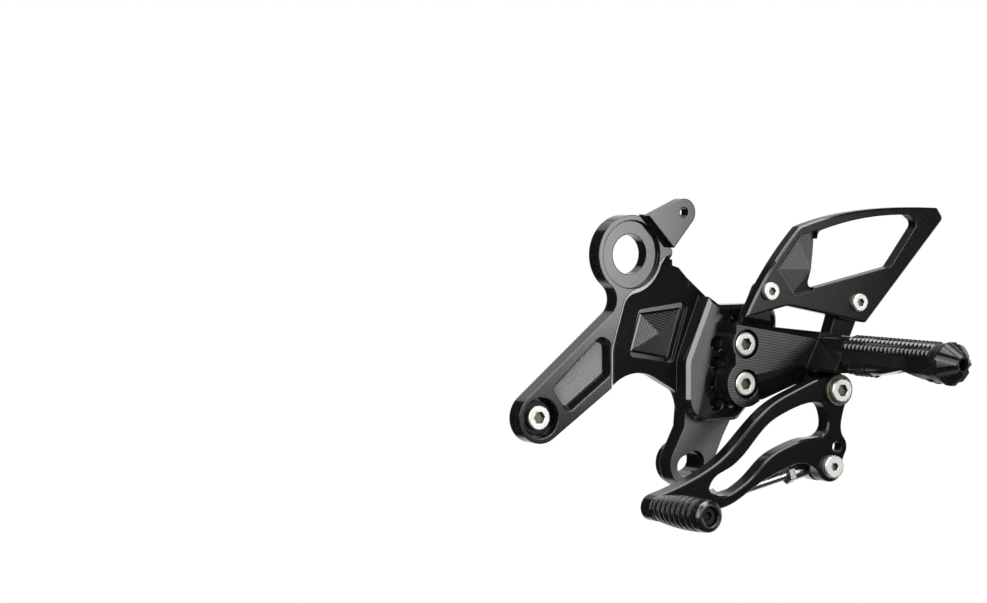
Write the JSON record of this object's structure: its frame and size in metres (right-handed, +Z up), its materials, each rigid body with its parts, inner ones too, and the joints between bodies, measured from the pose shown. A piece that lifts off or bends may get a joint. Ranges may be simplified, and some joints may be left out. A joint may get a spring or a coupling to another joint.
{
  "type": "rear set footrest",
  "caption": "Motorbike rear set footrest for the gear shift side: drilled base plate, carrier with knurled peg, heel guard, swinging shift lever with toe peg, and ball-ended rod.",
  "frame": {"origin": "axis of the upper boss bore, on the inboard face of the base plate", "axes": "+X to the rear of the bike, -Y outboard along the footpeg, +Z up"},
  "size_m": [0.2689, 0.1555, 0.1783],
  "materials": {
    "black_anodised": "satin black anodised",
    "black_peg": "black anodised, knurled",
    "bright_steel": "bright zinc plated",
    "dark_steel": "black oxide",
    "rod_steel": "brushed",
    "polished_steel": "polished"
  },
  "bodies": {
    "plate_side": {"base_plate": "black_anodised", "carrier_plate": "black_anodised", "heel_guard": "black_anodised", "footpeg": "black_peg", "peg_end_cap": "black_peg", "frame_bolt": "bright_steel", "frame_bolt_washer": "bright_steel", "carrier_bolts": "bright_steel", "guard_bolts": "bright_steel", "lever_pivot_washer": "bright_steel", "lever_pivot_bolt": "bright_steel", "peg_bolt": "dark_steel", "lever_pivot_sleeve": "polished_steel"},
    "lever": {"shift_lever": "black_anodised", "lever_bearings": "polished_steel", "toe_peg": "black_peg", "toe_peg_bolt": "dark_steel", "rod_bolt": "bright_steel", "rod_spacer": "rod_steel", "rod_bolt_nut": "rod_steel", "rear_rod_ball": "polished_steel"},
    "rod": {"rear_rod_end": "rod_steel", "rear_lock_nut": "rod_steel", "shift_rod": "rod_steel", "front_lock_nut": "rod_steel", "front_rod_end": "rod_steel"},
    "front_ball": {"front_rod_ball": "polished_steel"}
  },
  "joints": [
    {"name": "lever_hinge", "type": "hinge", "parent": "plate_side", "child": "lever", "pos_m": [0.1162, -0.0375, -0.0766], "axis": [0, 1, 0], "range_deg": [-12, 12]},
    {"name": "rod_swing", "type": "hinge", "parent": "lever", "child": "rod", "pos_m": [0.1126, -0.027, -0.1193], "axis": [0, 1, 0], "range_deg": [-20, 12]},
    {"name": "front_ball_tilt", "type": "hinge", "parent": "rod", "child": "front_ball", "pos_m": [0.02278, -0.027, -0.13921], "axis": [-0.9763, 0, -0.2164], "range_deg": [-12, 12]}
  ]
}
